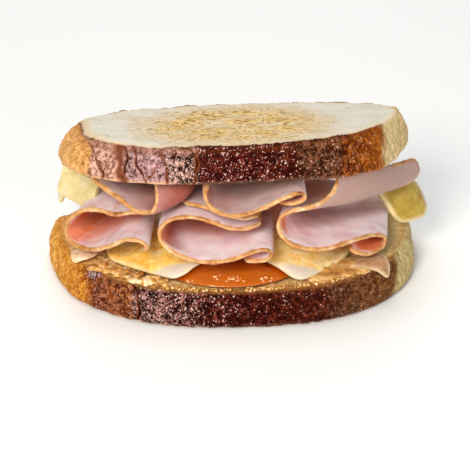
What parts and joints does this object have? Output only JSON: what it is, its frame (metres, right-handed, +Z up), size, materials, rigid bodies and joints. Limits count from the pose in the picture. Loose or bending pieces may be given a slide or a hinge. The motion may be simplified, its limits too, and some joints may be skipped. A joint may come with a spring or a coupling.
{
  "type": "grilled ham and cheese sandwich",
  "caption": "Toasted loaf-slice sandwich with folded ham slices, melting cheese corners and a low dome of jam between two crusty slices.",
  "frame": {"origin": "on the flat underside of the lower slice, midway along the filling and 44 mm behind its front edge", "axes": "+X along the slices to the viewer's right, +Y from the front of the sandwich to its back, +Z up"},
  "size_m": [0.1551, 0.0905, 0.0741],
  "materials": {
    "bread": "baked crust with a toasted crumb",
    "jam": "wet gloss",
    "cheese": "soft satin",
    "ham": "moist satin"
  },
  "bodies": {
    "root": {"bread_bottom": "bread", "bread_top": "bread", "jam": "jam", "cheese_front_left": "cheese", "cheese_front_right": "cheese", "cheese_side_left": "cheese", "cheese_side_right": "cheese", "cheese_corner_left": "cheese", "cheese_corner_right": "cheese", "ham_lower_left": "ham", "ham_lower_middle": "ham", "ham_lower_right": "ham", "ham_upper_left": "ham", "ham_upper_middle": "ham", "ham_flat": "ham"}
  },
  "joints": []
}
